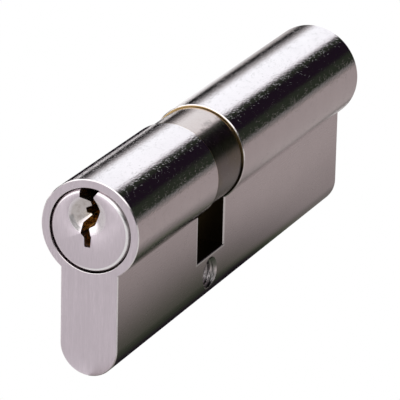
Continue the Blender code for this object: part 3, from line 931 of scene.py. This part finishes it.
def coil(name, low, high, centre):
    """A closed round-wire spring.

    The wire's middle runs on a helix of constant radius whose rise slows to nothing over the last turn at each
    end; the wire's section is a circle across that path, and both ends are capped.
    """
    wire, radius, turns, around = 0.19 * MM, 1.0 * MM, 7, 10
    t = np.linspace(0.0, 1.0, turns * 24 + 1)
    slow, least_pace = 0.12, 0.15
    pace = np.clip(np.minimum(t, 1 - t) / slow, 0.0, 1.0)
    pace = pace * pace * (3 - 2 * pace) * (1.0 - least_pace) + least_pace
    rise = np.concatenate([[0.0], np.cumsum((pace[1:] + pace[:-1]) / 2)])
    z = low[2] + wire + (high[2] - low[2] - 2 * wire) * (rise / rise[-1])
    a = math.tau * turns * t
    middle = np.stack([centre + radius * np.cos(a), radius * np.sin(a), z], 1)
    out = np.stack([np.cos(a), np.sin(a), np.zeros_like(a)], 1)
    along = np.gradient(middle, axis=0)
    along = along / np.linalg.norm(along, axis=1, keepdims=True)
    side = np.cross(along, out)
    s = np.linspace(0.0, math.tau, around, endpoint=False)
    ring = out[:, None] * np.cos(s)[None, :, None] + side[:, None] * np.sin(s)[None, :, None]
    points = (middle[:, None] + wire * ring).reshape(-1, 3)
    return finish_mesh(name, points, tube_faces(len(t), around), 60.0)


class BuildPins(bpy.types.Operator):
    """Build key pins, driver pins, springs and the plugs that close the chambers"""

    bl_idname = "lock.build_pins"
    bl_label = "Pin stacks"

    def execute(self, context):
        for side in ("front", "rear"):
            for index in range(1, PINS + 1):
                self.key_pin(context, side, index)
                self.driver(context, side, index)
                self.spring(context, side, index)
                self.closure(context, side, index)
        return {"FINISHED"}

    def key_pin(self, context, side, index):
        """Key pin: flat foot with a small chamfer, straight shank, cone and rounded tip."""
        node = f"{side}_key_pin_{index}"
        low, high, radius, x = stand(node)
        profile = [(low[2], 0.0), (low[2], radius), (high[2] - MM, radius), (high[2], 0.4 * MM), (high[2], 0.0)]
        pin = spun(f"{side}_pin_{index}", eased(profile, 0.15 * MM), 40, 2, (x, 0.0, 0.0))
        hand_over(pin, paint(context, "key_pin"), node, node)

    def driver(self, context, side, index):
        """Driver pin: a cylinder with chamfered ends and two shallow rings turned into its shank."""
        node = f"{side}_driver_{index}"
        low, high, radius, x = stand(node)
        profile, waist = [(low[2], 0.0), (low[2], radius)], radius - 0.12 * MM
        for level in (0.45, 0.62):
            mid = low[2] + (high[2] - low[2]) * level
            profile += [(mid - 0.3 * MM, radius), (mid - 0.2 * MM, waist), (mid + 0.2 * MM, waist),
                        (mid + 0.3 * MM, radius)]
        profile += [(high[2], radius), (high[2], 0.0)]
        pin = spun(f"{side}_driver_pin_{index}", eased(profile, 0.12 * MM), 40, 2, (x, 0.0, 0.0))
        hand_over(pin, paint(context, "driver"), node, node)

    def spring(self, context, side, index):
        """Spring: a closed round-wire coil that rides on the cylinder body, with a mesh of its own."""
        node = f"{side}_spring_{index}"
        low, high, _, x = stand(node)
        spring = coil(f"{side}_coil_{index}", low, high, x)
        hand_over(spring, paint(context, "spring"), "cylinder", node)
        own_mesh(spring)

    def closure(self, context, side, index):
        """Chamber plug: flat inside, its outer end following the web's half-round foot."""
        node = f"{side}_chamber_plug_{index}"
        _, high, radius, x = stand(node)
        share = np.array([0.0, 1.0, 1.0, 0.96, 0.8, 0.6, 0.4, 0.2, 0.0])
        a = np.linspace(0.0, math.tau, 48, endpoint=False)
        beside = radius * share[:, None] * np.sin(a)
        level = AXIS + FOOT + WEB - np.sqrt(WEB ** 2 - beside ** 2)
        level[3:] += 0.02 * MM
        level[2] = level[2] + 0.12 * MM
        level[:2] = high[2]
        points = np.stack([x + radius * share[:, None] * np.cos(a), beside, level], -1).reshape(-1, 3)
        closing = finish_mesh(f"{side}_closure_{index}", points, grid_faces(len(share), len(a), wrap=True))
        hand_over(closing, paint(context, "closure"), "cylinder", node)


# ---------------------------------------------------------------- stage


def bands(value, stops):
    """A colour ramp from a list of (position, colour) stops; a plain number stands for that grey."""
    node = value.socket.id_data.nodes.new("ShaderNodeValToRGB")
    feed(node.inputs[0], value)
    table = node.color_ramp.elements
    while len(table) < len(stops):
        table.new(0.5)
    for element, (position, colour) in zip(table, stops):
        element.position = position
        element.color = opaque(colour if isinstance(colour, tuple) else (colour,) * 3)
    return Value(node.outputs[0])


def by_angle(angle, stops):
    """Bands whose stops are given in degrees round the barrel axis."""
    share = ramp(angle, -180.0, 180.0, smooth=False)
    return bands(share, [((degrees + 180) / 360, colour) for degrees, colour in stops])


def show(tree, kind, mirrored, strength, plain, output):
    """Lead a light out that is the mirrored colour for the metal and the plain colour for the camera."""
    glow = add(kind, mirrored, strength)
    seen = add("ShaderNodeLightPath", tree=tree)
    add(output, add("ShaderNodeMixShader", seen, glow, add(kind, opaque(plain), 1.0, tree=tree)))


# What the metal mirrors, in degrees from straight up towards -Y: ACROSS for the short half, ALONG for the long
# half, LOWER for the -Y side of both, and TOWARD for directions back towards the front end

PANEL = (0.90, 0.98, 1.0)
PURPLE = (0.009, 0.0058, 0.0105)
GREEN = (0.018, 0.024, 0.016)
LOWER = ((5, PANEL), (10, (0.68, 0.7, 0.72)), (15, 0.08), (18, GREEN), (25, GREEN), (32, PURPLE), (58, PURPLE),
         (66, GREEN), (87, GREEN), (91, 0.25), (180, 0.25))
ACROSS = ((-180, 0.45), (-92, 0.30), (-89, 0.80), (-85, 0.80), (-82, 0.25), (-80, 0.005), (-71, 0.005), (-68, 0.08),
          (-64, 0.13), (-59, 0.22), (-54, 0.52), (-50, (0.84, 0.90, 0.92)), (-45, PANEL)) + LOWER
ALONG = ((-180, 0.45), (-92, 0.40), (-90.5, 0.18), (-89, 0.005), (-76, 0.005), (-71, 0.09), (-65, 0.14),
         (-59, 0.24), (-53, 0.45), (-47, (0.78, 0.83, 0.86)), (-43, PANEL)) + LOWER
TOWARD = ((-180, 0.45), (-92, 0.45), (-86, 1.0), (46, 1.0), (56, 0.35), (66, 0.03), (86, 0.03), (91, 0.25),
          (180, 0.25))
TONES = ((0.0, (0.0, 0.0, 0.0)), (0.012, (0.0138, 0.0089, 0.016)), (0.02, (0.023, 0.0175, 0.024)),
         (0.032, (0.030, 0.038, 0.026)), (0.06, (0.055, 0.068, 0.045)), (0.09, (0.090, 0.100, 0.074)),
         (0.17, (0.177, 0.171, 0.150)), (0.26, (0.26, 0.241, 0.233)), (0.43, (0.437, 0.400, 0.388)), (0.7, 0.70),
         (1.0, 1.0))


def studio_world(scene, stage):
    """White to the camera; to the metal, soft light by the angle round the barrel axis.

    The angle is 0 straight up and grows towards -Y: a broad panel overhead, dark down to the -Y horizon and a thin
    dark line at the +Y horizon. Towards -X the panel reaches down nearly to the horizon on both sides. Along +X
    there are two sets of bands, told apart by how steeply a direction runs along X, so the barrel's short and
    long half each mirror their own at the +Y horizon.
    """
    world = bpy.data.worlds.new("studio")
    scene.world = world
    world.use_nodes = True
    tree = world.node_tree
    tree.nodes.clear()
    x, y, z = parts(add("ShaderNodeTexCoord", tree=tree))
    angle = calc("DEGREES", calc("ARCTAN2", y * -1.0, z))
    onward = blend(ramp(x, 0.853, 0.860), by_angle(angle, ACROSS), by_angle(angle, ALONG))
    colour = blend(ramp(x, -0.25, 0.05), by_angle(angle, TOWARD), onward)
    show(tree, "ShaderNodeBackground", colour, stage.panel, stage.floor, "ShaderNodeOutputWorld")


def floor_material(stage):
    """Floor: plain white to the camera; what the metal mirrors of it is grey, darker close beside the web as a painted
    shadow.

    The level is a number that the TONES turn into a colour. Places are in metres: x along the barrel, y across it.
    """
    paint_floor = bpy.data.materials.new("floor_white")
    paint_floor.use_nodes = True
    tree = paint_floor.node_tree
    tree.nodes.clear()
    x, y = parts(add("ShaderNodeTexCoord", tree=tree, out=3))[:2]
    open_grey, front_grey, strip_dark = 0.43, 0.66, 0.01

    # The -Y side: a painted shadow of the body, dark at the web's foot, then grey, and darker again far out
    shade = ramp(y, -0.0060, -0.0255, 0.0, open_grey, smooth=False)
    shade = most(shade, ramp(y, -0.0042, -0.0075, 0.012, 0.055, smooth=False))
    shade = mix(ramp(x, 0.005, 0.066), shade, open_grey)
    shade = shade * ramp(y, -0.20, -0.32, 1.0, 0.4)
    # Painted shadow of the body beside the web's foot, darkest near its front
    contact_shadow = ramp(x, 0.012, 0.050, 0.12, 0.55)
    contact_shadow = mix(ramp(y, -0.0048, -0.0078), contact_shadow, 1.0)
    contact_shadow = mix(ramp(x, 0.004, 0.016), 1.0, contact_shadow)

    # The +Y side: light, darker along a slant, with a dark strip beside the long half
    slant = x - y * 1.6
    beyond = ramp(y, 0.12, 0.35, 1.0, 0.65) * ramp(slant, 0.025, 0.075, 1.0, 0.55)
    strip = (x > 0.025) * (slant < 0.010) * ((y > 0.030) * (y < 0.45))
    beyond = mix(strip, beyond, strip_dark)

    level = mix(y < 0.0, beyond, shade * contact_shadow)
    level = mix(ramp(x, -0.030, -0.042), level, front_grey)
    show(tree, "ShaderNodeEmission", bands(level, TONES), 1.0, stage.floor, "ShaderNodeOutputMaterial")
    return paint_floor


class BuildStage(bpy.types.Operator):
    """Build the plain pale floor, the soft light and the camera"""

    bl_idname = "lock.build_stage"
    bl_label = "Stage"

    def execute(self, context):
        scene, stage = context.scene, context.scene.lock_stage
        reach, level = 1.5, float(BODY_LOW[2]) - 0.02 * MM
        points = np.array([(-reach, -reach, level), (reach, -reach, level), (reach, reach, level),
                           (-reach, reach, level)])
        floor = finish_mesh("floor", points, [[0, 1, 2, 3]])
        floor.data.materials.append(floor_material(stage))
        studio_world(scene, stage)
        scene.view_settings.view_transform = "Standard"
        lens = bpy.data.cameras.new("camera")
        camera = bpy.data.objects.new("camera", lens)
        scene.collection.objects.link(camera)
        lens.lens = stage.lens / MM
        lens.sensor_width = 36.0
        lens.clip_start = 0.01
        from_axis = Vector((-0.517484, -0.233082, 0.203610))
        forward = Vector((0.8569012, 0.3811459, -0.3470565)).normalized()
        down = Vector((-0.3075327, -0.1623293, -0.9375888))
        right = down.cross(forward).normalized()
        up = right.cross(forward).normalized()
        turn = Matrix((right, up, -forward)).transposed()
        camera.matrix_world = Matrix.Translation((*from_axis[:2], from_axis[2] + AXIS)) @ turn.to_4x4()
        scene.camera = camera
        return {"FINISHED"}


class CylinderPanel(bpy.types.Panel):
    """Sidebar panel that lists the sizes, colours and building steps"""

    bl_idname = "VIEW3D_PT_lock_cylinder"
    bl_label = "Lock Cylinder"
    bl_space_type = "VIEW_3D"
    bl_region_type = "UI"
    bl_category = "Lock Cylinder"

    def draw(self, context):
        scene = context.scene
        for group in (scene.lock_sizes, scene.lock_colours, scene.lock_stage):
            box = self.layout.box()
            for name in group.__annotations__:
                box.prop(group, name)
        for operator in OPERATORS:
            self.layout.operator(operator.bl_idname)


OPERATORS = (BuildBody, BuildPlugs, BuildCam, BuildCouplings, BuildSnapRings, BuildPins, BuildStage)
CLASSES = (CylinderSizes, CylinderColours, CylinderStage) + OPERATORS + (CylinderPanel,)


def register():
    """Register the classes and the scene's settings."""
    for item in CLASSES:
        bpy.utils.register_class(item)
    bpy.types.Scene.lock_sizes = PointerProperty(type=CylinderSizes)
    bpy.types.Scene.lock_colours = PointerProperty(type=CylinderColours)
    bpy.types.Scene.lock_stage = PointerProperty(type=CylinderStage)


def unregister():
    """Take the settings and classes away again."""
    del bpy.types.Scene.lock_sizes, bpy.types.Scene.lock_colours, bpy.types.Scene.lock_stage
    for item in reversed(CLASSES):
        bpy.utils.unregister_class(item)


def main():
    """Build every piece in order."""
    register()
    bpy.ops.lock.build_body()
    bpy.ops.lock.build_plugs()
    bpy.ops.lock.build_cam()
    bpy.ops.lock.build_couplings()
    bpy.ops.lock.build_snap_rings()
    bpy.ops.lock.build_pins()
    bpy.ops.lock.build_stage()


if __name__ == "__main__":
    main()
